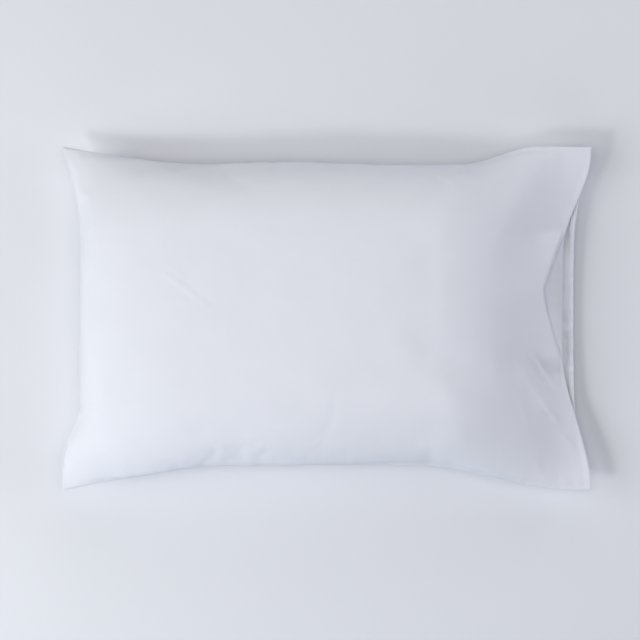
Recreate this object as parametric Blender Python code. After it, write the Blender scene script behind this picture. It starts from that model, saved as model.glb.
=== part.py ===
"""A pillowcase on a pillow, lying on a flat surface with its open end at +X.

A front panel and a back panel are sewn together along three sides and hemmed at the fourth. The
front panel slopes down over the pillow's end, and its hem stands off the end as a loose ledge above
the back panel's hem. Metres, +Z up, origin at the middle of the footprint on the surface it lies on.
"""

import math

import bmesh
import bpy
from mathutils import Vector

# Overall form
LENGTH = 0.746  # corner to corner along X
WIDTH = 0.484  # corner to corner along Y
CROWN = 0.148  # top of the front panel above the surface
SEAM_HEIGHT = 0.058  # the three sewn edges above the surface, half way along them
CORNER_DROOP = 0.010  # how far the empty corners hang below that
CROWN_LOSS = (0.09, 0.07, 0.50)  # shares of its height lost towards the ends, the sides and the corners

# Cloth
CLOTH = 0.0015
HEM_EXTRA = 0.0007  # a turned hem is this much thicker
HEM_WIDTH = 0.012
PIECE_GAP = 0.0004
SEAM_LIP = 0.004  # the flat ridge that a sewn edge stands out by

# How far in from each sewn edge the cloth has rolled over to its full height
CLOSED_END_ROLL = 0.170
SIDE_ROLL = 0.115
UNDERSIDE_ROLL = 0.115
UNDERSIDE_FULLNESS = 1.12  # over 1, it meets the surface before it has rolled over
PRESSED_FLAT = 0.003  # the underside is pressed flat where it would hang less than this above the surface
CORNER_FILL = 0.55  # 0 leaves the corners round and flat, 1 fills them

# How the sewn and hemmed edges are drawn in between their corners. Each ear is the length of the
# corner that stays out, as a share of the edge. A flat ear runs straight on before it curves in.
EDGES = {
    # edge: depth, ear at its start, flat part of it, ear at its end, flat part of it
    "south": (0.036, 0.36, 0.00, 0.34, 0.03),
    "north": (0.0255, 0.29, 0.00, 0.25, 0.10),
    "closed": (0.0255, 0.26, 0.08, 0.27, 0.00),
    "front_hem": (0.037, 0.40, 0.001, 0.30, 0.02),
    "back_hem": (0.021, 0.30, 0.00, 0.30, 0.00),
}

# Open end
LIP_RISE = -0.012  # how far the front panel's hem rises in its middle above the sewn corners; below 0 it sags
LIP_SLOPE = 0.160  # length of the slope from the crown down to the front hem
LIP_FULLNESS = 0.45  # 0 runs out level at the hem, 1 stays full until the hem and then turns down
LEDGE_DEPTH = 0.028  # the loose ledge behind the front hem, at its deepest
LEDGE_MIDDLE = 0.58  # where that is, as a share of the end from south to north
LEDGE_ENDS = (0.30, 0.76)  # where the ledge runs out to nothing
LEDGE_STEP = 0.011  # how far the cloth drops to the ledge
STEP_WIDTH = 0.010
HEM_DROP = 0.042  # how far the back panel's hem sags below the sewn corners
HEM_SLOPE = 0.070  # length of its slope down to the surface

# Main folds: soft ridges, or troughs where the height is negative
FOLDS = {
    # name: start x, y, end x, y, half width, height
    "corner_ridge": (0.262, -0.085, 0.352, -0.185, 0.013, 0.0055),
    "corner_trough": (0.284, -0.045, 0.336, -0.125, 0.010, -0.0055),
    "lip_ridge": (0.258, -0.020, 0.312, -0.060, 0.012, 0.0035),
    "ear_fold": (-0.362, -0.150, -0.330, -0.125, 0.012, 0.0045),
}

# Pillow
PILLOW_TOP_GAP = 0.0042  # from the front panel's outer face
PILLOW_FLOOR_GAP = 0.0026
PILLOW_LENGTH = 0.646
PILLOW_WIDTH = 0.397
PILLOW_CENTRE = (-0.012, 0.005)
PILLOW_ROUNDING = 0.13  # of its corners in plan
PILLOW_EDGE_POWER = 11  # the higher, the squarer its sides
PILLOW_LEAST = 0.006  # its thickness where the case leaves it no room

COTTON = (0.86, 0.87, 0.92, 1.0)
TICKING = (0.83, 0.83, 0.84, 1.0)


def clamp(value):
    return min(max(value, 0.0), 1.0)


def smooth(value):
    value = clamp(value)
    return value * value * (3 - 2 * value)


def blend(a, b, share):
    return a + (b - a) * share


def eased_ear(distance, ear, flat):
    """0 at a corner and 1 past its ear: at once and then slowing, or after a flat part."""
    if flat > 0:
        return smooth((distance - flat) / (ear - flat))
    return math.sin(math.pi / 2 * clamp(distance / ear))


def drawn_in(edge, share):
    """How far the named edge lies inside the line between its corners."""
    depth, start_ear, start_flat, end_ear, end_flat = EDGES[edge]
    return depth * eased_ear(share, start_ear, start_flat) * eased_ear(1 - share, end_ear, end_flat)


def front_hem(v):
    return drawn_in("front_hem", v)


def back_hem(v):
    return drawn_in("back_hem", v)


def plan(u, v, open_end):
    """Plan position of a panel's point: u runs from the closed end to the open one, v from south to north.
    open_end gives how far the panel's own open edge is drawn in."""
    x = (u - 0.5) * LENGTH + (1 - u) * drawn_in("closed", v) - u * open_end(v)
    y = (v - 0.5) * WIDTH + (1 - v) * drawn_in("south", u) - v * drawn_in("north", u)
    return x, y


def seam_height(u, v):
    return SEAM_HEIGHT - CORNER_DROOP * abs(2 * u - 1) ** 5 * abs(2 * v - 1) ** 5


def roll(distance, length):
    """1 at a sewn edge, and 0 where the cloth has rolled over to its full height."""
    return 1 - clamp((distance - SEAM_LIP) / length)


def filled(a, b):
    """Share of the full height, from how near the point is to an end, a, and to a side, b."""
    inside = 1 - a * a - b * b + CORNER_FILL * a * a * b * b
    return max(inside, 0.0) ** (0.5 + 0.5 * a * b)


def fold_height(x, y):
    """The folds' height at a plan position."""
    total = 0.0
    for x0, y0, x1, y1, half_width, height in FOLDS.values():
        run = Vector((x1 - x0, y1 - y0))
        offset = Vector((x - x0, y - y0))
        along = offset.dot(run) / run.length_squared
        across = abs(offset.cross(run)) / run.length
        ends = clamp(min(along, 1 - along) / 0.25 + 0.5)
        total += height * smooth(ends) * math.exp(-((across / half_width) ** 2))
    return total


def crown(u, v):
    """Height of the filled cloth above its sewn edges."""
    along, across = (2 * u - 1) ** 2, (2 * v - 1) ** 2
    to_ends, to_sides, to_corners = CROWN_LOSS
    return (CROWN - SEAM_HEIGHT) * (1 - to_ends * along - to_sides * across - to_corners * along * across)


def ledge_drop(u, v):
    """How far the front panel lies below its slope, next to its hem."""
    start, end = LEDGE_ENDS
    side = (v - start) / (LEDGE_MIDDLE - start) if v < LEDGE_MIDDLE else (end - v) / (end - LEDGE_MIDDLE)
    ledge = LEDGE_DEPTH * clamp(side)
    past_step = (ledge - (1 - u) * LENGTH) / STEP_WIDTH
    return LEDGE_STEP * smooth(2 * side) * smooth(past_step + 1)


def front_point(u, v):
    """Outer face of the front panel."""
    x, y = plan(u, v, front_hem)
    side = max(roll(v * WIDTH, SIDE_ROLL), roll((1 - v) * WIDTH, SIDE_ROLL))
    closed_end = roll(u * LENGTH, CLOSED_END_ROLL)
    from_lip = (1 - u) * LENGTH / LIP_SLOPE
    slope = blend(smooth(from_lip), math.sin(math.pi / 2 * clamp(from_lip)), LIP_FULLNESS)
    lip = LIP_RISE * math.sin(math.pi * v) ** 0.8 * (1 - slope)
    height = filled(closed_end, side)
    z = seam_height(u, v) + CLOTH + PIECE_GAP / 2
    z += lip + crown(u, v) * height * slope
    z += fold_height(x, y) * smooth(6 * v * (1 - v)) - ledge_drop(u, v)
    return Vector((x, y, z))


def back_point(u, v):
    """Outer face of the back panel. Its middle lies flat on the surface."""
    x, y = plan(u, v, back_hem)
    side = max(roll(v * WIDTH, UNDERSIDE_ROLL), roll((1 - v) * WIDTH, UNDERSIDE_ROLL))
    closed_end = roll(u * LENGTH, UNDERSIDE_ROLL)
    slope = smooth((1 - u) * LENGTH / HEM_SLOPE)
    sag = HEM_DROP * math.sin(math.pi * v) ** 0.6 * (1 - slope)
    height = seam_height(u, v) - CLOTH - PIECE_GAP / 2 - sag
    pressed = clamp(UNDERSIDE_FULLNESS * filled(closed_end, side) * slope)
    z = height * (1 - pressed) ** 1.6
    return Vector((x, y, z if z > PRESSED_FLAT else 0))


def normal_of(surface, u, v):
    """Unit normal of a surface, on the side that u cross v points to."""
    step = 0.002
    along_u = surface(min(u + step, 1), v) - surface(max(u - step, 0), v)
    along_v = surface(u, min(v + step, 1)) - surface(u, max(v - step, 0))
    return along_u.cross(along_v).normalized()


def rolled_steps(length, roll_length, count):
    """Shares of an edge from its sewn end to where the cloth has rolled over, closer together near the seam."""
    steps = [0.0]
    for k in range(count + 1):
        angle = math.pi / 2 * k / count
        steps.append((SEAM_LIP + roll_length * (1 - math.cos(angle))) / length)
    return steps


def even_steps(start, end, count):
    return [blend(start, end, k / count) for k in range(1, count)]


def across_steps(roll_length, rolled, middle):
    """Shares from the south seam to the north one."""
    south = rolled_steps(WIDTH, roll_length, rolled)
    north = [1 - share for share in reversed(south)]
    return south + even_steps(south[-1], north[0], middle) + north


def along_steps(roll_length, rolled, middle, slope, sloped, edge, edged):
    """Shares from the closed seam to the open end: the roll, the middle, the slope down to the open edge,
    the strip next to it, and the hem, which is one step wide."""
    closed = rolled_steps(LENGTH, roll_length, rolled)
    marks = [closed[-1], 1 - slope / LENGTH, 1 - edge / LENGTH, 1 - HEM_WIDTH / LENGTH]
    steps = closed[:-1]
    for start, end, count in zip(marks, marks[1:], (middle, sloped, edged)):
        steps += [start, *even_steps(start, end, count)]
    return [*steps, marks[-1], 1.0]


def cotton(name, colour, roughness):
    material = bpy.data.materials.new(name)
    material.use_nodes = True
    shader = material.node_tree.nodes["Principled BSDF"]
    shader.inputs["Base Color"].default_value = colour
    shader.inputs["Roughness"].default_value = roughness
    material.diffuse_color = colour
    return material


def finish(name, bm, material):
    bmesh.ops.recalc_face_normals(bm, faces=bm.faces)
    mesh = bpy.data.meshes.new(name)
    bm.to_mesh(mesh)
    bm.free()
    mesh.shade_smooth()
    mesh.set_sharp_from_angle(angle=math.radians(50))
    mesh.materials.append(material)
    made = bpy.data.objects.new(name, mesh)
    bpy.context.scene.collection.objects.link(made)
    return made


def grid(bm, surface, us, vs):
    """Vertices and faces of a surface at every u and v."""
    rows = [[bm.verts.new(surface(u, v)) for v in vs] for u in us]
    for near, far in zip(rows, rows[1:]):
        for k in range(len(vs) - 1):
            bm.faces.new((near[k], far[k], far[k + 1], near[k + 1]))
    return rows


def sheet(name, surface, us, vs, thickness, inwards, material):
    """A sheet of cloth with the surface as its outer face. inwards is 1 or -1, the side of u cross v that its other face is on."""
    bm = bmesh.new()
    outer = grid(bm, surface, us, vs)
    bm.normal_update()
    inner = []
    for row, u in zip(outer, us):
        depths = [thickness(u, v) * vert.calc_shell_factor() for vert, v in zip(row, vs)]
        inner.append([bm.verts.new(vert.co + vert.normal * inwards * d) for vert, d in zip(row, depths)])
    for near, far in zip(inner, inner[1:]):
        for k in range(len(vs) - 1):
            bm.faces.new((near[k], near[k + 1], far[k + 1], far[k]))
    rim = [edge for edge in bm.edges if edge.is_boundary]
    bmesh.ops.bridge_loops(bm, edges=rim)
    return finish(name, bm, material)


def hemmed(u, v):
    """Thickness of a panel, with its hem at the open end. The hem thins out into the side seams."""
    hem = HEM_EXTRA * smooth(8 * min(v, 1 - v))
    return CLOTH + hem if u > 1 - 1.5 * HEM_WIDTH / LENGTH else CLOTH


def share_at(x, y, open_end):
    """u and v of the panel's point that lies over a plan position."""
    u, v = 0.5 + x / LENGTH, 0.5 + y / WIDTH
    for _ in range(12):
        over_x, over_y = plan(u, v, open_end)
        u, v = clamp(u + (x - over_x) / LENGTH), clamp(v + (y - over_y) / WIDTH)
    return u, v


def clearing_height(surface, open_end, x, y, gap):
    """Height over a plan position that stays the gap above a panel's outer face, or below it where the gap
    is negative, measured square to the cloth."""
    u, v = share_at(x, y, open_end)
    return surface(u, v).z + gap / max(normal_of(surface, u, v).z, 0.25)


def pillow_point(a, b, side):
    """Top of the pillow where side is 1 and its underside where it is -1. a and b run from -1 to 1."""
    x = PILLOW_CENTRE[0] + a * PILLOW_LENGTH / 2 * math.sqrt(1 - PILLOW_ROUNDING * b * b)
    y = PILLOW_CENTRE[1] + b * PILLOW_WIDTH / 2 * math.sqrt(1 - PILLOW_ROUNDING * a * a)
    top = clearing_height(front_point, front_hem, x, y, -PILLOW_TOP_GAP)
    floor = clearing_height(back_point, back_hem, x, y, CLOTH + PILLOW_FLOOR_GAP)
    half = max((top - floor) / 2, PILLOW_LEAST / 2)
    thick = ((1 - abs(a) ** PILLOW_EDGE_POWER) * (1 - abs(b) ** PILLOW_EDGE_POWER)) ** 0.5
    return Vector((x, y, (top + floor) / 2 + side * half * thick))


def rounded_steps(count):
    """From -1 to 1, closer together at the ends."""
    return [math.sin(math.pi / 2 * blend(-1, 1, k / count)) for k in range(count + 1)]


def pillow(name, along, across, material):
    bm = bmesh.new()
    for side in (1, -1):
        grid(bm, lambda a, b: pillow_point(a, b, side), rounded_steps(along), rounded_steps(across))
    bmesh.ops.remove_doubles(bm, verts=bm.verts, dist=1e-5)
    return finish(name, bm, material)


def main():
    for old in list(bpy.data.objects):
        bpy.data.objects.remove(old)
    case_cotton = cotton("case_cotton", COTTON, 0.85)
    pillow_ticking = cotton("pillow_ticking", TICKING, 0.9)
    sheet(
        "front_panel",
        front_point,
        along_steps(CLOSED_END_ROLL, 7, 7, LIP_SLOPE, 7, LEDGE_DEPTH + STEP_WIDTH, 6),
        across_steps(SIDE_ROLL, 6, 14),
        hemmed,
        -1,
        case_cotton,
    )
    sheet(
        "back_panel",
        back_point,
        along_steps(UNDERSIDE_ROLL, 5, 8, HEM_SLOPE, 3, 0.035, 3),
        across_steps(UNDERSIDE_ROLL, 5, 10),
        hemmed,
        1,
        case_cotton,
    )
    pillow("pillow", 24, 18, pillow_ticking)


main()
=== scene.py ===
# %% [markdown]
# # A cotton pillowcase on a plump pillow
#
# A plain white pillowcase, cut 75 by 50 cm, is pulled over a full pillow that lies on its back.
# Two panels are sewn together along three sides. The fourth side is the open end, where each
# panel has a narrow turned hem. The pillow fills the middle, draws the sewn edges in and leaves
# an ear at each corner. The solid model gives the sizes, and this lesson makes the cloth itself.

# %% Load the solid model
import math

import bmesh
import bpy
import numpy as np
from mathutils import Matrix, Vector, noise


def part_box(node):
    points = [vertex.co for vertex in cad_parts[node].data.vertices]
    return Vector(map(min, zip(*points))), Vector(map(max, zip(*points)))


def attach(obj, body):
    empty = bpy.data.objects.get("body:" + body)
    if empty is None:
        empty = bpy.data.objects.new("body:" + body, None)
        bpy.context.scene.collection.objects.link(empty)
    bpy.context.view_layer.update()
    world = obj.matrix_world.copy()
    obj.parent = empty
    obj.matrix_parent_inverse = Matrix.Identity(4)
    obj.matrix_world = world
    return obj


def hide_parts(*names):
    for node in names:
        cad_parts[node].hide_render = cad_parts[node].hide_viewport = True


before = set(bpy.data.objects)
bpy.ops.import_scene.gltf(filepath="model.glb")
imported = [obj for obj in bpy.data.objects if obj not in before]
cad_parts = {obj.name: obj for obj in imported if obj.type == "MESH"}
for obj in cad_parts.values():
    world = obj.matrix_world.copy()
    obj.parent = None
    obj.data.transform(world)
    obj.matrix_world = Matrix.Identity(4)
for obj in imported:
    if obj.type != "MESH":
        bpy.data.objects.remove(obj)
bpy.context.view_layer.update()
front_low, front_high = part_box("front_panel")
scene = bpy.context.scene

# %% [markdown]
# ## The size of the cut cloth and of the filled case
#
# Cloth hardly stretches, so a panel keeps its cut size however it is bent. That is why the
# filled case is smaller in plan than the flat one. Both sizes are needed: the flat one tells the
# cloth how long its threads are, and the filled one tells where they end up.

# %% Sizes
CUT_LENGTH, CUT_WIDTH = 0.75, 0.50
LENGTH = front_high[0] - front_low[0]
WIDTH = front_high[1] - front_low[1]
CROWN = 0.148  # top of the filled case above the surface
SEAM_HEIGHT, CORNER_DROOP = 0.058, 0.010
SEAM_ROW = 0.004  # width of the first row of the cloth beside a seam
print("filled case", round(LENGTH, 3), "x", round(WIDTH, 3), "m")

# %% [markdown]
# ## How the edges are drawn in
#
# Every edge of a filled case bows inwards between its corners. One short row per edge describes
# that: how deep, and how long the ears at its two ends are, as shares of the edge. An ear with a
# flat part runs straight on before it curves in.

# %% The drawn-in edges
EDGES = {
    # edge: depth, ear at its start, flat part of it, ear at its end, flat part of it
    "south": (0.036, 0.36, 0.00, 0.34, 0.03),
    "north": (0.0255, 0.29, 0.00, 0.25, 0.10),
    "closed": (0.0255, 0.26, 0.08, 0.27, 0.00),
    "front_hem": (0.037, 0.40, 0.001, 0.30, 0.02),
    "back_hem": (0.021, 0.30, 0.00, 0.30, 0.00),
}


def smooth(value):
    value = np.clip(value, 0.0, 1.0)
    return value * value * (3 - 2 * value)


def eased_ear(distance, ear, flat):
    if flat > 0:
        return smooth((distance - flat) / (ear - flat))
    return np.sin(math.pi / 2 * np.clip(distance / ear, 0, 1))


def drawn_in(edge, share):
    depth, start_ear, start_flat, end_ear, end_flat = EDGES[edge]
    at_start = eased_ear(share, start_ear, start_flat)
    at_end = eased_ear(1 - share, end_ear, end_flat)
    return depth * at_start * at_end


def plan(u, v, hem):
    """Plan position of a panel's point: u runs to the open end, v from south to north."""
    x = (u - 0.5) * LENGTH + (1 - u) * drawn_in("closed", v) - u * drawn_in(hem, v)
    y = (v - 0.5) * WIDTH + (1 - v) * drawn_in("south", u) - v * drawn_in("north", u)
    return x, y


# %% [markdown]
# ## The filled form
#
# The top rises steeply from its seams to a broad crown, and slopes more gently down to the open
# end. The underside is pressed flat by the weight. These two surfaces are only the place where
# the cloth starts: the simulation that follows decides how it really lies.

# %% Heights of the two panels
ROLL, CLOSED_ROLL = 0.115, 0.170  # how far from its seams the cloth is still rolling over
CROWN_LOSS = (0.09, 0.07, 0.50)  # how much lower the crown is towards its ends, sides and corners
LIP_RISE, LIP_SLOPE, LIP_FULLNESS = -0.0385, 0.210, 0.15
HEM_DROP, HEM_SLOPE, HEM_LEVEL = 0.042, 0.070, 0.022


def seam_height(u, v):
    return SEAM_HEIGHT - CORNER_DROOP * np.abs(2 * u - 1) ** 5 * np.abs(2 * v - 1) ** 5


def filled(end, side):
    """Share of the full height, by how near a point is to an end and a side (1 is at the seam)."""
    inside = (1 - end**2) * (1 - side**2)
    return inside ** (0.5 + 0.3 * end * side)


def rolled(u, v, end_roll):
    end = 1 - np.clip((u * LENGTH - SEAM_ROW) / end_roll, 0, 1)
    side = 1 - np.clip((np.minimum(v, 1 - v) * WIDTH - SEAM_ROW) / ROLL, 0, 1)
    return filled(end, side)


def front_form(u, v):
    x, y = plan(u, v, "front_hem")
    from_hem = np.clip((1 - u) * LENGTH / LIP_SLOPE, 0, 1)
    slope = (1 - LIP_FULLNESS) * smooth(from_hem) + LIP_FULLNESS * np.sin(math.pi / 2 * from_hem)
    along, across = (2 * u - 1) ** 2, (2 * v - 1) ** 2
    to_ends, to_sides, to_corners = CROWN_LOSS
    crown = 1 - to_ends * along - to_sides * across - to_corners * along * across
    rise = LIP_RISE * np.sin(math.pi * v) ** 0.75 * (1 - slope)
    crown = (CROWN - SEAM_HEIGHT) * crown * rolled(u, v, CLOSED_ROLL) * slope
    return np.stack([x, y, seam_height(u, v) + rise + crown], axis=-1)


def back_form(u, v):
    x, y = plan(u, v, "back_hem")
    slope = smooth(((1 - u) * LENGTH - HEM_LEVEL) / HEM_SLOPE)
    sag = HEM_DROP * np.sin(math.pi * v) ** 0.6 * (1 - slope)
    pressed = np.clip(1.12 * rolled(u, v, ROLL) * slope, 0, 1)
    return np.stack([x, y, (seam_height(u, v) - sag) * (1 - pressed) ** 1.6], axis=-1)


FORMS = {"front": front_form, "back": back_form}
print("top of the form", round(float(front_form(np.array(0.5), np.array(0.5))[2]), 4), "m")

# %% [markdown]
# ## Cut and sew
#
# Two flat grids are laid one on the other and welded along three sides, as the real panels are
# sewn. Each point also remembers its place on the flat cloth, because the simulation takes its
# thread lengths from there.

# %% Two panels, sewn on three sides
CELLS_LONG, CELLS_WIDE = 120, 84
SEWN_WITHIN = 0.0015  # points of the two panels nearer than this are one point of the seam


def cell_shares(cells, size):
    """Shares of a panel's side at its grid lines, with one narrow row beside each seam."""
    even = np.linspace(0, 1, cells + 1)
    narrow = [0, SEAM_ROW / size, 1 - SEAM_ROW / size, 1]
    return np.interp(even, [0, 1 / cells, 1 - 1 / cells, 1], narrow)


LONG_SHARES = cell_shares(CELLS_LONG, CUT_LENGTH)
WIDE_SHARES = cell_shares(CELLS_WIDE, CUT_WIDTH)


def grid_line(value, cells):
    """Which grid line a new grid's point is on, from its coordinate between -0.5 and 0.5."""
    return int(round((value + 0.5) * cells))


def flat_grid(bm, long_cells, wide_cells):
    """A new grid in the bmesh: each of its points with the two grid lines that it is on."""
    made = bmesh.ops.create_grid(bm, x_segments=long_cells, y_segments=wide_cells, size=0.5)
    return {
        vert: (grid_line(vert.co.x, long_cells), grid_line(vert.co.y, wide_cells))
        for vert in made["verts"]
    }


def sewn_case():
    bm = bmesh.new()
    line_long = bm.verts.layers.int.new("line_long")
    line_wide = bm.verts.layers.int.new("line_wide")
    panel = bm.verts.layers.int.new("panel")
    for side, name in ((1, "front"), (-1, "back")):
        start = FORMS[name](*np.meshgrid(LONG_SHARES, WIDE_SHARES, indexing="ij"))
        made = flat_grid(bm, CELLS_LONG, CELLS_WIDE)
        if side < 0:
            faces = {face for vert in made for face in vert.link_faces}
            bmesh.ops.reverse_faces(bm, faces=list(faces))
        for vert, (i, j) in made.items():
            vert[line_long], vert[line_wide], vert[panel] = i, j, side
            vert.co = start[i, j]
    sewn = [v for v in bm.verts if v[line_long] == 0 or v[line_wide] in (0, CELLS_WIDE)]
    bmesh.ops.remove_doubles(bm, verts=sewn, dist=SEWN_WITHIN)
    places = [(v[line_long], v[line_wide], v[panel]) for v in bm.verts]
    mesh = bpy.data.meshes.new("sewn_case")
    bm.to_mesh(mesh)
    bm.free()
    return mesh, np.array(places)


case_mesh, case_places = sewn_case()
print("sewn case:", len(case_mesh.vertices), "points,", len(case_mesh.polygons), "faces")

# %% [markdown]
# ## Let the cloth settle
#
# A shape that is only calculated looks like moulded plastic. Real cloth keeps its length, so
# where the case is filled it has to buckle softly beside its seams. Blender's Cloth gives that
# by itself: the flat cut is the rest shape, an even pressure stands for the filling, and the
# underside is held where it lies. The pressure fades towards the mouth, where the case is open.

# %% Simulate
PRESSURE, BENDING, FRAMES = 1.6, 1.0, 20
STRETCH, SHEAR, DAMPING, BEND_DAMPING = 40, 10, 5, 0.5
CASE_MASS, AIR_DRAG, STEPS_A_FRAME = 0.2, 2, 6
MOUTH_REACH = 0.10  # how far in from the hems the filling stops pressing
HELD_BELOW = 0.0008  # cloth this low rests on the floor and is held there


def settle(mesh, places):
    """The same mesh's points after the cloth has settled."""
    piece = bpy.data.objects.new("settling_case", mesh)
    scene.collection.objects.link(piece)
    piece.shape_key_add(name="Basis")
    cut = piece.shape_key_add(name="cut")
    cut.value = 0
    u, v = LONG_SHARES[places[:, 0]], WIDE_SHARES[places[:, 1]]
    flat = np.stack([(u - 0.5) * CUT_LENGTH, (v - 0.5) * CUT_WIDTH, 0 * u], axis=-1)
    cut.data.foreach_set("co", flat.ravel())
    held = piece.vertex_groups.new(name="held")
    blown = piece.vertex_groups.new(name="blown")
    for index, vert in enumerate(mesh.vertices):
        if vert.co.z < HELD_BELOW:
            held.add([index], 1.0, "REPLACE")
        pressed = np.clip((1 - u[index]) * CUT_LENGTH / MOUTH_REACH, 0, 1)
        blown.add([index], float(pressed), "REPLACE")
    cloth = piece.modifiers.new("cloth", "CLOTH")
    cloth.point_cache.frame_end = FRAMES
    cloth.collision_settings.use_collision = False
    settings = cloth.settings
    settings.quality, settings.mass, settings.air_damping = STEPS_A_FRAME, CASE_MASS, AIR_DRAG
    settings.tension_stiffness = settings.compression_stiffness = STRETCH
    settings.shear_stiffness, settings.bending_stiffness = SHEAR, BENDING
    settings.tension_damping = settings.compression_damping = settings.shear_damping = DAMPING
    settings.bending_damping = BEND_DAMPING
    settings.use_pressure, settings.uniform_pressure_force = True, PRESSURE
    settings.vertex_group_pressure, settings.vertex_group_mass = "blown", "held"
    settings.rest_shape_key = cut
    settings.effector_weights.gravity = 0
    scene.frame_start, scene.frame_end = 1, FRAMES
    for step in range(1, FRAMES + 1):
        scene.frame_set(step)
    settled = piece.evaluated_get(bpy.context.evaluated_depsgraph_get()).data
    points = np.zeros(len(mesh.vertices) * 3)
    settled.vertices.foreach_get("co", points)
    scene.frame_set(1)
    bpy.data.objects.remove(piece)
    return points.reshape(-1, 3)


def panel_grids(points, places):
    """The points as one array per panel, indexed by the two grid lines."""
    grids = {}
    on_seam = (places[:, 0] == 0) | (places[:, 1] == 0) | (places[:, 1] == CELLS_WIDE)
    for side, name in ((1, "front"), (-1, "back")):
        grids[name] = np.zeros((CELLS_LONG + 1, CELLS_WIDE + 1, 3))
        chosen = on_seam | (places[:, 2] == side)
        grids[name][places[chosen, 0], places[chosen, 1]] = points[chosen]
    return grids


start_points = np.array([vert.co[:] for vert in case_mesh.vertices])
settled_points = settle(case_mesh, case_places)
moved = np.linalg.norm(settled_points - start_points, axis=1) * 1000
print("settling moved the cloth by", round(moved.mean(), 1), "mm on average")
print("and at most by", round(moved.max(), 1), "mm")
grids = panel_grids(settled_points, case_places)

# %% [markdown]
# ## Bring the edges back to size
#
# Pressure lifts the crown and pulls the seams about. The settled cloth is scaled back to its
# right height, and each edge is moved back to the measured outline. The move is evened out along
# the edge and fades over the panel, so that the small natural waves of the cloth stay.

# %% Fit the settled cloth to the outline
EVENED = 5  # grid lines over which an edge's move is averaged
EDGE_REACH = 0.15  # how far into the panel an edge's change of height is carried
CALMED_CELLS, DENTS_KEPT = 4, 0.35
EAR_REACH, EAR_FADE, EAR_CALMED = 0.10, 1.3, 0.75
SEAM_KEPT = 0.03  # within this of a seam or hem the settled cloth is not averaged


def evened(values):
    """A running mean along an edge that keeps its two ends."""
    half = EVENED // 2
    ends = [np.repeat(values[:1], half, 0), values, np.repeat(values[-1:], half, 0)]
    padded = np.concatenate(ends)
    mean = sum(padded[k : k + len(values)] for k in range(EVENED)) / EVENED
    line = np.linspace(0, 1, len(values))[:, None]
    return mean + (values[:1] - mean[:1]) * (1 - line) ** 8 + (values[-1:] - mean[-1:]) * line**8


def spread(off, near_u, near_v):
    """Carries the four edges' moves into the panel (a Coons patch), with the given fading."""
    u0, u1 = near_u[:, None, None], near_u[::-1][:, None, None]
    v0, v1 = near_v[None, :, None], near_v[::-1][None, :, None]
    closed, hem = evened(off[0])[None], evened(off[-1])[None]
    south, north = evened(off[:, 0])[:, None], evened(off[:, -1])[:, None]
    moves = u0 * closed + u1 * hem + v0 * south + v1 * north
    corners = u0 * v0 * off[0, 0] + u0 * v1 * off[0, -1]
    corners = corners + u1 * v0 * off[-1, 0] + u1 * v1 * off[-1, -1]
    return moves - corners


def softened(field, cells):
    """The field averaged with a bell-shaped weight that is so many cells wide."""
    reach = int(3 * cells)
    bell = np.exp(-0.5 * (np.arange(-reach, reach + 1) / cells) ** 2)
    bell /= bell.sum()
    for axis in (0, 1):
        edge = [(reach, reach) if k == axis else (0, 0) for k in range(3)]
        wide = np.pad(field, edge, mode="edge")
        size = field.shape[axis]
        field = sum(w * wide.take(range(k, k + size), axis) for k, w in enumerate(bell))
    return field


def calmed(grid, target):
    """Keeps the settled cloth's broad form, and less of its small dents and of its sharp ears."""
    long_in = np.minimum(LONG_SHARES, 1 - LONG_SHARES)[:, None] * CUT_LENGTH
    wide_in = np.minimum(WIDE_SHARES, 1 - WIDE_SHARES)[None] * CUT_WIDTH
    ear = smooth(EAR_FADE - np.hypot(long_in, wide_in) / EAR_REACH)[..., None]
    change = grid - target
    broad = softened(change, CALMED_CELLS)
    inside = smooth(np.minimum(long_in, wide_in) / SEAM_KEPT)[..., None]
    broad += (1 - inside) * (change - broad)
    return target + (1 - EAR_CALMED * ear) * (broad + DENTS_KEPT * (change - broad))


def fitted(name):
    grid = grids[name].copy()
    target = FORMS[name](*np.meshgrid(LONG_SHARES, WIDE_SHARES, indexing="ij"))
    grid[..., 2] *= CROWN / grids["front"][..., 2].max()
    off = target - grid
    grid[..., :2] += spread(off, 1 - LONG_SHARES, 1 - WIDE_SHARES)[..., :2]
    near_u = np.clip(1 - LONG_SHARES * LENGTH / EDGE_REACH, 0, 1) ** 2
    near_v = np.clip(1 - WIDE_SHARES * WIDTH / EDGE_REACH, 0, 1) ** 2
    grid[..., 2] += spread(off, near_u, near_v)[..., 2]
    grid = calmed(grid, target)
    grid[..., 2] = np.maximum(grid[..., 2], 0)
    most = 1000 * np.abs(off[[0, -1]]).max()
    print(name, "panel's ends moved back by at most", round(most, 1), "mm")
    return grid


grids = {name: fitted(name) for name in grids}

# %% [markdown]
# ## A finer surface
#
# The simulated grid is too coarse for seams and hems. A smooth curve through its points gives the
# cloth at any place, and a finer grid with narrow rows beside the hem is read from it.

# %% Read the surface between its grid lines
ROWS_WIDE = 160
ROWS_LONG = ((0.0, 184), (0.62, 77), (0.735, 20))  # from this far along the cut, so many rows


def curve_weights(position, count):
    """For each position on a line of points, four neighbours and their shares (Catmull-Rom)."""
    base = np.clip(np.floor(position).astype(int), 0, count - 2)
    t = position - base
    shares = [
        -0.5 * t + t**2 - 0.5 * t**3,
        1 - 2.5 * t**2 + 1.5 * t**3,
        0.5 * t + 2 * t**2 - 1.5 * t**3,
        -0.5 * t**2 + 0.5 * t**3,
    ]
    return [(np.clip(base + k - 1, 0, count - 1), share) for k, share in enumerate(shares)]


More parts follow.
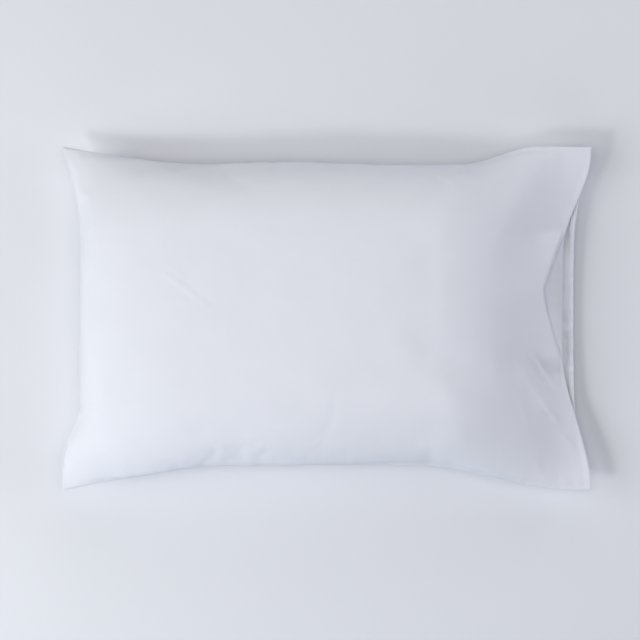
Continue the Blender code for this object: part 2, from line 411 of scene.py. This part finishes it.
def read_surface(grid, us, vs):
    along = curve_weights(np.interp(us, LONG_SHARES, np.arange(CELLS_LONG + 1)), CELLS_LONG + 1)
    across = curve_weights(np.interp(vs, WIDE_SHARES, np.arange(CELLS_WIDE + 1)), CELLS_WIDE + 1)
    rows = sum(grid[index] * share[:, None, None] for index, share in along)
    return sum(rows[:, index] * share[None, :, None] for index, share in across)


def normals_of(points, side):
    lengthwise, crosswise = np.gradient(points, axis=0), np.gradient(points, axis=1)
    normals = np.cross(lengthwise, crosswise) * side
    return normals / np.maximum(np.linalg.norm(normals, axis=-1, keepdims=True), 1e-12)


ends = [start / CUT_LENGTH for start, _ in ROWS_LONG[1:]] + [1.0]
us = np.array([0.0])
for (_, rows), end in zip(ROWS_LONG, ends):
    us = np.concatenate([us, np.linspace(us[-1], end, rows + 1)[1:]])
vs = np.linspace(0, 1, ROWS_WIDE + 1)
U, V = np.meshgrid(us, vs, indexing="ij")
FROM_HEM = (1 - U) * CUT_LENGTH
FROM_SOUTH, FROM_NORTH, FROM_CLOSED = V * CUT_WIDTH, (1 - V) * CUT_WIDTH, U * CUT_LENGTH
surfaces = {name: read_surface(grid, us, vs) for name, grid in grids.items()}
print("fine grid:", U.shape)

# %% [markdown]
# ## Listed creases
#
# The simulation doesn't know how this case was handled. The few creases that give it its
# character are placed one by one, as soft ridges and troughs along short lines: the loose ledge
# behind the front hem with its V-shaped step, the folds that run from the near corner, and one
# long faint ridge.

# %% Ridges, troughs and the ledge
LEDGE_LINE = {
    # y of a point on the V: x of that point
    -0.082: 0.3425, -0.053: 0.3328, -0.0275: 0.3240, -0.002: 0.3170, 0.019: 0.3116,
    0.037: 0.3088, 0.042: 0.3090, 0.057: 0.3140, 0.088: 0.3257, 0.127: 0.3392,
}
LEDGE_APEX, LEDGE_ENDS_SHARP = 0.040, 4  # y of the V's point, and how sharply its two ends fade
LEDGE_SLOPE, STEP_WIDTH, STEP_BEND = 0.07, 0.0075, 1.6
SHOULDER, SHOULDER_WIDTH, SHOULDER_BACK = 0.017, 0.034, 0.002
LEDGE_RIM, LEDGE_RIM_WIDTH, LEDGE_RIM_FADE = 0.0016, 0.0022, 0.006
FOLDS = {
    # fold: x0, y0, x1, y1, half width, height
    "long_ridge": (-0.226, 0.066, -0.196, 0.043, 0.0034, 0.0011),
    "long_ridge_end": (-0.200, 0.047, -0.158, 0.014, 0.0032, 0.0010),
    "long_ridge_side": (-0.222, 0.077, -0.196, 0.060, 0.0045, 0.0006),
    "corner_ridge": (0.283, -0.050, 0.322, -0.106, 0.0045, 0.0016),
    "corner_trough": (0.292, -0.050, 0.320, -0.088, 0.0040, -0.0014),
    "corner_fold": (0.266, -0.078, 0.300, -0.134, 0.0060, 0.0022),
    "corner_fold_end": (0.290, -0.118, 0.350, -0.184, 0.0060, 0.0018),
    "corner_hollow": (0.282, -0.086, 0.338, -0.158, 0.0070, -0.0018),
    "corner_line": (0.262, -0.100, 0.280, -0.150, 0.0040, 0.0007),
    "lip_ridge": (0.316, 0.030, 0.324, -0.006, 0.0016, 0.0007),
    "north_streak": (0.142, 0.208, 0.180, 0.184, 0.0040, 0.0007),
    "north_streak_2": (0.166, 0.212, 0.206, 0.186, 0.0040, 0.0007),
    "north_streak_3": (0.120, 0.200, 0.150, 0.184, 0.0040, 0.0005),
    "ear_wrinkle": (0.308, 0.172, 0.316, 0.146, 0.0030, 0.0005),
    "ear_wrinkle_2": (0.320, 0.168, 0.326, 0.146, 0.0030, 0.0004),
    "near_ear_fold": (-0.366, -0.150, -0.342, -0.130, 0.0040, 0.0026),
    "near_ear_line": (-0.366, -0.196, -0.300, -0.180, 0.0080, 0.0014),
    "seam_trough": (-0.164, -0.200, -0.150, -0.180, 0.0060, -0.0012),
    "seam_trough_2": (-0.098, -0.196, -0.080, -0.180, 0.0060, -0.0010),
}


def fold_height(x, y):
    total = np.zeros_like(x)
    for x0, y0, x1, y1, half_width, height in FOLDS.values():
        length = math.hypot(x1 - x0, y1 - y0)
        dx, dy = (x1 - x0) / length, (y1 - y0) / length
        along = ((x - x0) * dx + (y - y0) * dy) / length
        across = ((x - x0) * dy - (y - y0) * dx) / half_width
        total += height * smooth(np.minimum(along, 1 - along) / 0.3 + 0.5) * np.exp(-(across**2))
    return total


def ledge_drop(points):
    """How far each point sinks to lie on the loose ledge, which is nearly level behind the hem."""
    x, y, z = np.moveaxis(points, -1, 0)
    ys = sorted(LEDGE_LINE)
    past = x - np.interp(y, ys, [LEDGE_LINE[key] for key in ys])
    south_part = (y - ys[0]) / (LEDGE_APEX - ys[0])
    north_part = (ys[-1] - y) / (ys[-1] - LEDGE_APEX)
    reach = np.where(y < LEDGE_APEX, south_part, north_part)
    reach = smooth(LEDGE_ENDS_SHARP * np.clip(reach, 0, 1))
    level = z[-1:] + LEDGE_SLOPE * FROM_HEM
    shoulder = SHOULDER * np.exp(-(((past + SHOULDER_BACK) / SHOULDER_WIDTH) ** 2))
    step = smooth(past / STEP_WIDTH + 1) ** STEP_BEND
    rim = LEDGE_RIM * smooth(past / LEDGE_RIM_WIDTH)
    drop = np.maximum(z + shoulder - level, 0) * step - shoulder
    drop -= rim * np.exp(-np.maximum(past, 0) / LEDGE_RIM_FADE)
    return reach * drop


def wavy(points, seed, scale_x, scale_y):
    """Smooth noise between -1 and 1 over the plane, stretched by the two scales."""
    flat = points.reshape(-1, 2)
    values = [noise.noise(Vector((px / scale_x, py / scale_y, seed))) for px, py in flat]
    return np.array(values).reshape(points.shape[:-1])


CUT_PLANE = np.stack([U * CUT_LENGTH, V * CUT_WIDTH], axis=-1)
TURNED_PLANE = CUT_PLANE[..., ::-1]
FROM_SEAM = np.minimum.reduce([FROM_SOUTH, FROM_NORTH, FROM_CLOSED])
FROM_SIDE = np.minimum(FROM_SOUTH, FROM_NORTH)
SEAM_HOLD = smooth(FROM_SEAM / 0.006)[..., None]  # nothing may pull the panels apart at their seam
PUCKER_LENGTH = 0.05


def seam_puckers(distance, reach, plane, seed, pitch):
    """Small folds square to a seam or hem, which die away with the distance from it."""
    return wavy(plane, seed, pitch, PUCKER_LENGTH) * np.exp(-distance / reach)


def sewn_puckers(height, distance, reach, plane, seed, pitch):
    """Puckers that start just beside a sewn seam, where the cloth itself is held."""
    return height * seam_puckers(distance, reach, plane, seed, pitch) * smooth(distance / 0.006)


HEM_WIDTH, STITCH_IN = 0.0075, 0.0062  # the stitches run this far in from the hem's folded edge
HEM_BAND, BAND_EARLY, BAND_SOFT = 0.0007, 0.0004, 0.0012
STITCH_PULL, PULL_WIDTH = 0.0006, 0.0009
FOLDED_DOWN, FOLD_WIDTH = 0.0012, 0.0015


def along_stitches(width):
    return np.exp(-(((FROM_HEM - STITCH_IN) / width) ** 2))


def hem_relief():
    """Height of the turned hem on the cloth's face: a low band, pulled down along its stitches."""
    band = HEM_BAND * (1 - smooth((FROM_HEM - HEM_WIDTH + BAND_EARLY) / BAND_SOFT))
    folded = FOLDED_DOWN * np.clip(1 - FROM_HEM / FOLD_WIDTH, 0, 1) ** 2
    return band - STITCH_PULL * along_stitches(PULL_WIDTH) - folded


# %% Shape the front panel
front = surfaces["front"]
edge_fade = smooth(FROM_SEAM / 0.02)
front_lift = fold_height(front[..., 0], front[..., 1]) * smooth(FROM_SIDE / 0.03)
for height, seed, scale_x, scale_y in ((0.0008, 3.1, 0.07, 0.05), (0.0003, 7.7, 0.021, 0.017)):
    front_lift += edge_fade * height * wavy(CUT_PLANE, seed, scale_x, scale_y)
front_lift += sewn_puckers(0.0020, FROM_SOUTH, 0.022, CUT_PLANE, 11.3, 0.016)
front_lift += sewn_puckers(0.0012, FROM_NORTH, 0.022, CUT_PLANE, 17.9, 0.018)
front_lift += sewn_puckers(0.0012, FROM_CLOSED, 0.020, TURNED_PLANE, 23.5, 0.018)
front_lift += 0.0006 * seam_puckers(FROM_HEM, 0.010, TURNED_PLANE, 29.2, 0.008)
front_lift += hem_relief()
front += normals_of(front, 1) * front_lift[..., None] * SEAM_HOLD
front[..., 2] -= ledge_drop(front)
hem_middle = front[-1, ROWS_WIDE // 2].round(3)
print("front panel:", round(front[..., 2].max(), 4), "m high, hem at", hem_middle)

# %% [markdown]
# ## The back panel's hem
#
# The back hem shows past the front one as a narrow strip. It lies nearly level, with its folded
# edge a little higher than the cloth behind it. Its stitching is tighter than the cloth, so it
# puckers.

# %% Shape the back panel
HEM_TILT, TILT_WIDTH = 0.0020, 0.014  # how much the hem's folded edge stands up, over what width
HOLD_START, HOLD_WIDTH = 1.7, 0.025  # the strip is held level to 0.7 widths from its edge
HEM_WAVES, STITCH_RIDGE, RIDGE_WIDTH = 0.0030, 0.0005, 0.0010

back = surfaces["back"]
hem_level = back[-1:, :, 2] - HEM_TILT * np.clip(FROM_HEM / TILT_WIDTH, 0, 1)
side_fade = smooth(FROM_SIDE / 0.04)
hem_hold = smooth(HOLD_START - FROM_HEM / HOLD_WIDTH) * side_fade
back[..., 2] += hem_hold * (hem_level - back[..., 2])
hem_waves = seam_puckers(FROM_HEM, 0.007, TURNED_PLANE, 41.7, 0.0075)
back_lift = HEM_WAVES * hem_waves * side_fade + STITCH_RIDGE * along_stitches(RIDGE_WIDTH)
back_lift += sewn_puckers(0.0015, FROM_SOUTH, 0.022, CUT_PLANE, 51.3, 0.016)
back_lift += sewn_puckers(0.0015, FROM_NORTH, 0.022, CUT_PLANE, 57.9, 0.018)
back += normals_of(back, -1) * back_lift[..., None] * SEAM_HOLD
back[..., 2] = np.maximum(back[..., 2], 0)
print("back panel: hem at", back[-1, ROWS_WIDE // 2].round(3))

# %% [markdown]
# ## Turn each surface into cloth
#
# Solidify gives the surface the thickness of the cloth, on its inner side. A vertex group makes
# it thicker where the hem is turned in twice and thins it out at the sewn seams, where the raw
# edges are hidden inside. The UV map holds the flat cloth in metres, so the weave keeps its
# size.

# %% Cloth pieces
CLOTH, HEM_CLOTH = 0.0006, 0.0019
HEM_MARGIN, FOLDED_SHARE = 0.0005, 0.55
SEAM_SHARE, SEAM_TAPER = 0.08, 0.012  # share left at the seam, and how far in it grows whole
PANELS_APART = 0.6  # the back panel's place on the UV map, in metres from the front panel's


def seam_taper(distance):
    return np.clip(SEAM_SHARE + distance / SEAM_TAPER, 0, 1)


def cloth_share():
    """Thickness of the cloth as a share of the hem's."""
    share = np.full(U.shape, CLOTH / HEM_CLOTH)
    share = np.where(FROM_HEM < HEM_WIDTH + HEM_MARGIN, 1.0, share)
    share = np.where(FROM_HEM < HEM_MARGIN, FOLDED_SHARE, share)
    return share * seam_taper(FROM_SEAM)


def cloth_piece(name, points, side):
    bm = bmesh.new()
    weave = bm.loops.layers.uv.new("weave")
    thick = bm.verts.layers.deform.verify()
    shares = cloth_share()
    places = flat_grid(bm, U.shape[0] - 1, U.shape[1] - 1)
    for vert, place in places.items():
        vert.co = points[place]
        vert[thick][0] = float(shares[place])
    if side < 0:
        bmesh.ops.reverse_faces(bm, faces=bm.faces)
    for face in bm.faces:
        face.smooth = True
        for loop in face.loops:
            aside = np.array([0, PANELS_APART * (side < 0)])
            loop[weave].uv = CUT_PLANE[places[loop.vert]] + aside
    mesh = bpy.data.meshes.new(name)
    bm.to_mesh(mesh)
    bm.free()
    piece = bpy.data.objects.new(name, mesh)
    scene.collection.objects.link(piece)
    piece.vertex_groups.new(name="thickness")
    solid = piece.modifiers.new("thickness", "SOLIDIFY")
    solid.thickness, solid.offset = HEM_CLOTH, -1
    solid.vertex_group = "thickness"
    solid.use_even_offset = False
    print(name, "is", np.ptp(points.reshape(-1, 3), axis=0).round(3), "m overall")
    return piece


front_cloth = cloth_piece("front_panel_cloth", front, 1)
back_cloth = cloth_piece("back_panel_cloth", back, -1)

# %% [markdown]
# ## The pillow
#
# The pillow shows only through the mouth, but it is what everything rests on. It is made between
# the two panels: half-way between them and a little thinner than the room there, rounded at its
# edge.

# %% Pillow
PILLOW_LONG, PILLOW_WIDE = 72, 48
PILLOW_SPAN = (0.07, 0.915, 0.09, 0.915)  # shares of the panels that the pillow fills
PILLOW_FULL = 0.93
EDGE_POWER = 9  # how square the pillow's edge is
CORNERS_IN, CORNER_POWER = 0.02, 4  # its corners are rounded off in plan


def pillow_piece():
    bm = bmesh.new()
    weave = bm.loops.layers.uv.new("weave")
    turn = np.sin(np.linspace(-0.5, 0.5, PILLOW_LONG + 1) * math.pi)
    turn_wide = np.sin(np.linspace(-0.5, 0.5, PILLOW_WIDE + 1) * math.pi)
    A, B = np.meshgrid(turn, turn_wide, indexing="ij")
    u0, u1, v0, v1 = PILLOW_SPAN
    pu, pv = u0 + (u1 - u0) * (turn + 1) / 2, v0 + (v1 - v0) * (turn_wide + 1) / 2
    top, under = read_surface(grids["front"], pu, pv), read_surface(grids["back"], pu, pv)
    middle, half = (top + under) / 2, (top - under) / 2 * PILLOW_FULL
    edge = (1 - np.abs(A) ** EDGE_POWER) * (1 - np.abs(B) ** EDGE_POWER)
    thick = (np.maximum(edge, 0) ** 0.5)[..., None]
    outward = np.sign(np.stack([A, B, 0 * A], -1))
    corner = (CORNERS_IN * (A * B) ** CORNER_POWER)[..., None] * outward
    for side in (1, -1):
        points = middle + side * half * thick - corner
        places = flat_grid(bm, PILLOW_LONG, PILLOW_WIDE)
        faces = list({face for vert in places for face in vert.link_faces})
        if side < 0:
            bmesh.ops.reverse_faces(bm, faces=faces)
        for vert, place in places.items():
            vert.co = points[place]
        for face in faces:
            face.smooth = True
            for loop in face.loops:
                i, j = places[loop.vert]
                across = pv[j] * CUT_WIDTH + PANELS_APART * (side < 0)
                loop[weave].uv = (pu[i] * CUT_LENGTH, across)
    rim = [v for v in bm.verts if v.is_boundary]
    bmesh.ops.remove_doubles(bm, verts=rim, dist=1e-5)
    mesh = bpy.data.meshes.new("pillow_ticking_cover")
    bm.to_mesh(mesh)
    bm.free()
    piece = bpy.data.objects.new("pillow_body", mesh)
    scene.collection.objects.link(piece)
    print("pillow:", len(mesh.polygons), "faces")
    return piece


pillow = pillow_piece()

# %% [markdown]
# ## Stitches along the hems
#
# A hem is held by one row of short lock stitches. Each stitch is a small spindle laid on the cloth
# along the row, sunk in a little at its ends. There are hundreds, so each has only a few faces.

# %% Stitch rows
STITCH_PITCH, STITCH_LENGTH, STITCH_RADIUS = 0.0029, 0.0024, 0.00022
ROW_MARGIN = 0.006  # the row starts and stops this far from the side seams
HALF_SPAN = 0.001  # a stitch takes its direction from the row this far to each side


def stitch_row(name, points, normals, lift):
    """Stitches along the line of points, each lifted off the cloth by lift along its normal."""
    steps = np.linalg.norm(np.diff(points, axis=0), axis=1)
    run = np.concatenate([[0], np.cumsum(steps)])
    bm = bmesh.new()
    count = int((run[-1] - 2 * ROW_MARGIN) / STITCH_PITCH)
    for k in range(count):
        at = ROW_MARGIN + (k + 0.5) * STITCH_PITCH
        ends = [
            [np.interp(at + reach, run, points[:, c]) for c in range(3)]
            for reach in (-HALF_SPAN, HALF_SPAN)
        ]
        up = Vector([np.interp(at, run, normals[:, c]) for c in range(3)]).normalized()
        along = (Vector(ends[1]) - Vector(ends[0])).normalized()
        side = up.cross(along).normalized()
        middle = (Vector(ends[0]) + Vector(ends[1])) / 2 + up * lift
        place = Matrix.Translation(middle) @ Matrix((along, side, up)).transposed().to_4x4()
        place = place @ Matrix.Diagonal((STITCH_LENGTH / 2, STITCH_RADIUS, STITCH_RADIUS, 1))
        place = place @ Matrix.Rotation(math.pi / 2, 4, "Y")
        bmesh.ops.create_uvsphere(bm, u_segments=6, v_segments=5, radius=1, matrix=place)
    for face in bm.faces:
        face.smooth = True
    mesh = bpy.data.meshes.new(name)
    bm.to_mesh(mesh)
    bm.free()
    piece = bpy.data.objects.new(name, mesh)
    scene.collection.objects.link(piece)
    print(name, count, "stitches")
    return piece


def hem_line(points, side, distance, inner):
    """The line at a distance from the hem, on the cloth's outer or inner face, and its normals."""
    normals = normals_of(points, side)
    row = np.interp(1 - distance / CUT_LENGTH, us, np.arange(len(us)))
    low, share = int(row), row - int(row)
    line = points[low] * (1 - share) + points[low + 1] * share
    facing = normals[low] * (1 - share) + normals[low + 1] * share
    if inner:
        thickness = HEM_CLOTH * seam_taper(np.minimum(vs, 1 - vs) * CUT_WIDTH)
        return line - facing * thickness[:, None], -facing
    return line, facing


STITCH_LIFT = 0.00005
front_row = hem_line(front, 1, STITCH_IN, inner=False)
back_row = hem_line(back, -1, STITCH_IN, inner=True)
under_row = hem_line(back, -1, STITCH_IN, inner=False)
front_stitches = stitch_row("front_hem_stitches", *front_row, STITCH_LIFT)
back_stitches = stitch_row("back_hem_stitches", *back_row, STITCH_LIFT)
under_stitches = stitch_row("back_hem_stitches_outside", *under_row, STITCH_LIFT)

# %% [markdown]
# ## The weave, as a node group
#
# Percale is a plain weave: threads cross one over one, about 24 to the centimetre. The group
# reads the UV map in metres and puts out the height of the threads, a mask of the gaps between
# them for painted shade, and the slow unevenness of hand-pressed cotton. Cotton and ticking share
# it with their own values.

# %% Weave group
def value_node(tree, operation, first, second=None):
    node = tree.nodes.new("ShaderNodeMath")
    node.operation = operation
    for slot_number, item in enumerate((first, second)):
        if item is None:
            continue
        if isinstance(item, (int, float)):
            node.inputs[slot_number].default_value = item
        else:
            tree.links.new(item, node.inputs[slot_number])
    return node.outputs[0]


def weave_group():
    group = bpy.data.node_groups.new("plain_weave", "ShaderNodeTree")
    add = group.interface.new_socket
    add("Cloth place", in_out="INPUT", socket_type="NodeSocketVector")
    for socket_name, value in (("Threads per metre", 2400.0), ("Slub", 0.3), ("Unevenness", 0.5)):
        add(socket_name, in_out="INPUT", socket_type="NodeSocketFloat").default_value = value
    for socket_name in ("Thread height", "Painted gap shade", "Slow variation"):
        add(socket_name, in_out="OUTPUT", socket_type="NodeSocketFloat")
    nodes, link = group.nodes, group.links.new
    inputs, outputs = nodes.new("NodeGroupInput").outputs, nodes.new("NodeGroupOutput").inputs
    slub = nodes.new("ShaderNodeTexNoise")
    slub.inputs["Scale"].default_value = 260
    slub.inputs["Detail"].default_value = 2
    link(inputs["Cloth place"], slub.inputs["Vector"])
    wander = value_node(group, "MULTIPLY", slub.outputs["Fac"], inputs["Slub"])
    split = nodes.new("ShaderNodeSeparateXYZ")
    link(inputs["Cloth place"], split.inputs[0])
    waves = []
    for axis in ("X", "Y"):
        turns = value_node(group, "MULTIPLY", split.outputs[axis], inputs["Threads per metre"])
        turns = value_node(group, "ADD", turns, wander)
        waves.append(value_node(group, "SINE", value_node(group, "MULTIPLY", turns, math.pi)))
    crossing = value_node(group, "MULTIPLY", *waves)
    over = value_node(group, "ABSOLUTE", crossing)
    link(value_node(group, "MULTIPLY_ADD", crossing, 0.5), outputs["Thread height"])
    # Painted shade: this output darkens the cloth's colour in the gaps between the threads.
    link(value_node(group, "SUBTRACT", 1.0, over), outputs["Painted gap shade"])
    slow = nodes.new("ShaderNodeTexNoise")
    slow.inputs["Scale"].default_value = 22
    slow.inputs["Detail"].default_value = 4
    link(inputs["Cloth place"], slow.inputs["Vector"])
    uneven = value_node(group, "MULTIPLY", slow.outputs["Fac"], inputs["Unevenness"])
    link(uneven, outputs["Slow variation"])
    return group


weave = weave_group()
print("weave group:", [item.name for item in weave.interface.items_tree])

# %% [markdown]
# ## The cloths
#
# White cotton is matt: it has a high roughness and a faint sheen of fibres at grazing angles. The
# colour is a cool white, darkened a little by painted shade in the gaps between the threads.

# %% Cotton, ticking and thread
# Painted shade in the gaps between the threads: how strongly it darkens the colour.
PAINTED_GAP_SHADE = 0.35  # how much a gap between threads deepens the colour
LEAST_ROUGH, ROUGH_SPREAD = 0.78, 0.15
THREAD_HEIGHT = 0.00008


def cloth_material(name, light, deep, threads, slub, relief, sheen):
    material = bpy.data.materials.new(name)
    material.use_nodes = True
    tree = material.node_tree
    nodes, link = tree.nodes, tree.links.new
    shader = nodes["Principled BSDF"]
    shader.inputs["Sheen Weight"].default_value = sheen
    shader.inputs["Sheen Roughness"].default_value = 0.45
    shader.inputs["Specular IOR Level"].default_value = 0.25
    place = nodes.new("ShaderNodeUVMap")
    place.uv_map = "weave"
    threads_node = nodes.new("ShaderNodeGroup")
    threads_node.node_tree = weave
    threads_node.inputs["Threads per metre"].default_value = threads
    threads_node.inputs["Slub"].default_value = slub
    link(place.outputs[0], threads_node.inputs["Cloth place"])
    # Painted shade darkens the colour in the gaps between the threads; the slow variation adds
    # random unevenness of tone.
    shade = value_node(tree, "MULTIPLY", threads_node.outputs["Painted gap shade"], PAINTED_GAP_SHADE)
    shade = value_node(tree, "ADD", shade, threads_node.outputs["Slow variation"])
    mix = nodes.new("ShaderNodeMix")
    mix.data_type = "RGBA"
    mix.inputs["A"].default_value = (*light, 1)
    mix.inputs["B"].default_value = (*deep, 1)
    link(shade, mix.inputs["Factor"])
    link(mix.outputs["Result"], shader.inputs["Base Color"])
    slow = threads_node.outputs["Slow variation"]
    rough = value_node(tree, "MULTIPLY_ADD", slow, ROUGH_SPREAD)
    rough.node.inputs[2].default_value = LEAST_ROUGH
    link(rough, shader.inputs["Roughness"])
    bump = nodes.new("ShaderNodeBump")
    bump.inputs["Strength"].default_value = relief
    bump.inputs["Distance"].default_value = THREAD_HEIGHT
    link(threads_node.outputs["Thread height"], bump.inputs["Height"])
    link(bump.outputs["Normal"], shader.inputs["Normal"])
    return material


cotton = cloth_material(
    "white_percale", light=(0.84, 0.85, 0.905), deep=(0.76, 0.775, 0.835),
    threads=2400, slub=0.5, relief=0.35, sheen=0.08,
)
ticking = cloth_material(
    "pillow_ticking", light=(0.80, 0.80, 0.80), deep=(0.68, 0.68, 0.69),
    threads=1800, slub=0.8, relief=0.5, sheen=0.05,
)
print("materials:", cotton.name, ticking.name)


def thread_material():
    material = bpy.data.materials.new("sewing_thread")
    material.use_nodes = True
    tree = material.node_tree
    nodes, link = tree.nodes, tree.links.new
    shader = nodes["Principled BSDF"]
    shader.inputs["Sheen Weight"].default_value = 0.15
    shader.inputs["Roughness"].default_value = 0.6
    place = nodes.new("ShaderNodeTexCoord")
    # Painted shade and light: diagonal bands, darker in the thread's grooves and lighter on its
    # plies.
    twist_shade_bands = nodes.new("ShaderNodeTexWave")
    twist_shade_bands.bands_direction = "DIAGONAL"
    twist_shade_bands.inputs["Scale"].default_value = 900
    link(place.outputs["Object"], twist_shade_bands.inputs["Vector"])
    mix = nodes.new("ShaderNodeMix")
    mix.data_type = "RGBA"
    mix.inputs["A"].default_value = (0.78, 0.79, 0.82, 1)
    mix.inputs["B"].default_value = (0.88, 0.89, 0.92, 1)
    link(twist_shade_bands.outputs["Fac"], mix.inputs["Factor"])
    link(mix.outputs["Result"], shader.inputs["Base Color"])
    return material


thread = thread_material()
for piece in (front_cloth, back_cloth):
    piece.data.materials.append(cotton)
pillow.data.materials.append(ticking)
for piece in (front_stitches, back_stitches, under_stitches):
    piece.data.materials.append(thread)

# %% [markdown]
# ## Ride on the body, replace the solids
#
# Every piece rides on the one body of this part, and each soft solid of the solid model is
# replaced by the cloth that stands for it.

# %% Ride, replace
for piece, node, material_slot in (
    (front_cloth, "front_panel", "case_cotton"),
    (back_cloth, "back_panel", "case_cotton"),
    (pillow, "pillow", "pillow_ticking"),
):
    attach(piece, "root")
    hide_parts(node)
for piece in (front_stitches, back_stitches, under_stitches):
    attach(piece, "root")

# %% [markdown]
# ## Floor, light and camera
#
# The case lies on a plain pale floor. One small lamp from the near left gives the corners their
# shadows at the far right. Broad lamps all round, most of them low, give the soft shading: each
# side of the case is lit by the lamp that it faces, and the open end stays a little darker.
# Lamps from the south are bluer. The world is pale where the camera sees it, and hardly lights
# anything. The camera looks straight down.

# %% Floor
FLOOR_RADIUS, FLOOR_HEIGHT = 1.7, -0.0004  # just under the case, so that the two faces don't meet


def floor_piece():
    bm = bmesh.new()
    bmesh.ops.create_circle(bm, cap_ends=True, segments=96, radius=FLOOR_RADIUS)
    bmesh.ops.translate(bm, verts=bm.verts, vec=(0, 0, FLOOR_HEIGHT))
    mesh = bpy.data.meshes.new("floor")
    bm.to_mesh(mesh)
    bm.free()
    floor = bpy.data.objects.new("floor", mesh)
    scene.collection.objects.link(floor)
    material = bpy.data.materials.new("pale_floor")
    material.use_nodes = True
    tree = material.node_tree
    shader = tree.nodes["Principled BSDF"]
    shader.inputs["Roughness"].default_value = 0.9
    shader.inputs["Specular IOR Level"].default_value = 0.2
    speckle = tree.nodes.new("ShaderNodeTexNoise")
    speckle.inputs["Scale"].default_value = 3
    place = tree.nodes.new("ShaderNodeTexCoord")
    tree.links.new(place.outputs["Object"], speckle.inputs["Vector"])
    mix = tree.nodes.new("ShaderNodeMix")
    mix.data_type = "RGBA"
    mix.inputs["A"].default_value = (0.79, 0.80, 0.84, 1)
    mix.inputs["B"].default_value = (0.80, 0.81, 0.85, 1)
    tree.links.new(speckle.outputs["Fac"], mix.inputs["Factor"])
    tree.links.new(mix.outputs["Result"], shader.inputs["Base Color"])
    mesh.materials.append(material)
    return floor


floor = floor_piece()

# %% Light
LAMPS = {
    # lamp: azimuth and elevation in degrees, size in metres, watts, colour
    "key": (215, 50, 0.5, 12.0, (0.98, 1.01, 0.99)),
    "key_soft": (210, 35, 1.6, 21.0, (1.00, 1.00, 1.09)),
    "west": (180, 35, 1.6, 20.4, (1.00, 1.07, 1.03)),
    "top_west": (180, 80, 1.0, 9.4, (1.00, 0.95, 0.92)),
    "top_east": (0, 80, 1.0, 9.4, (1.00, 0.95, 0.92)),
    "low_east": (0, 22, 1.6, 15.4, (1.00, 1.02, 1.14)),
    "low_north_east": (45, 22, 1.6, 13.6, (1.00, 1.07, 1.14)),
    "low_north": (90, 22, 1.6, 12.2, (1.00, 0.97, 1.02)),
    "low_south": (270, 22, 1.6, 9.4, (0.85, 1.08, 1.30)),
}
LAMP_DISTANCE = 2.8


def add_lamp(name, azimuth, elevation, size, watts, colour):
    data = bpy.data.lights.new(name, "AREA")
    data.shape, data.size, data.energy, data.color = "DISK", size, watts, colour
    azimuth, elevation = math.radians(azimuth), math.radians(elevation)
    level = math.cos(elevation)
    toward = Vector((level * math.cos(azimuth), level * math.sin(azimuth), math.sin(elevation)))
    lamp = bpy.data.objects.new(name, data)
    lamp.location = toward * LAMP_DISTANCE
    lamp.rotation_euler = toward.to_track_quat("Z", "Y").to_euler()
    lamp.visible_camera = False
    scene.collection.objects.link(lamp)


def pale_room():
    """A world that looks pale behind the floor, but leaves the lighting to the lamps."""
    world = bpy.data.worlds.new("pale_room")
    world.use_nodes = True
    nodes, link = world.node_tree.nodes, world.node_tree.links.new
    wall = nodes["Background"]
    wall.inputs["Color"].default_value = (0.66, 0.68, 0.72, 1)
    faint = nodes.new("ShaderNodeBackground")
    faint.inputs["Color"].default_value = (0.86, 0.88, 0.92, 1)
    faint.inputs["Strength"].default_value = 0.01
    mix = nodes.new("ShaderNodeMixShader")
    link(nodes.new("ShaderNodeLightPath").outputs["Is Camera Ray"], mix.inputs[0])
    link(faint.outputs[0], mix.inputs[1])
    link(wall.outputs[0], mix.inputs[2])
    link(mix.outputs[0], nodes["World Output"].inputs["Surface"])
    return world


for lamp_name, values in LAMPS.items():
    add_lamp(lamp_name, *values)
scene.world = pale_room()

# %% Camera
scene.view_settings.view_transform = "Standard"

camera_data = bpy.data.cameras.new("camera")
camera_data.lens, camera_data.sensor_width = 100, 36
camera = bpy.data.objects.new("camera", camera_data)
camera.location = (-0.0099, -0.0021, 2.556)
scene.collection.objects.link(camera)
scene.camera = camera
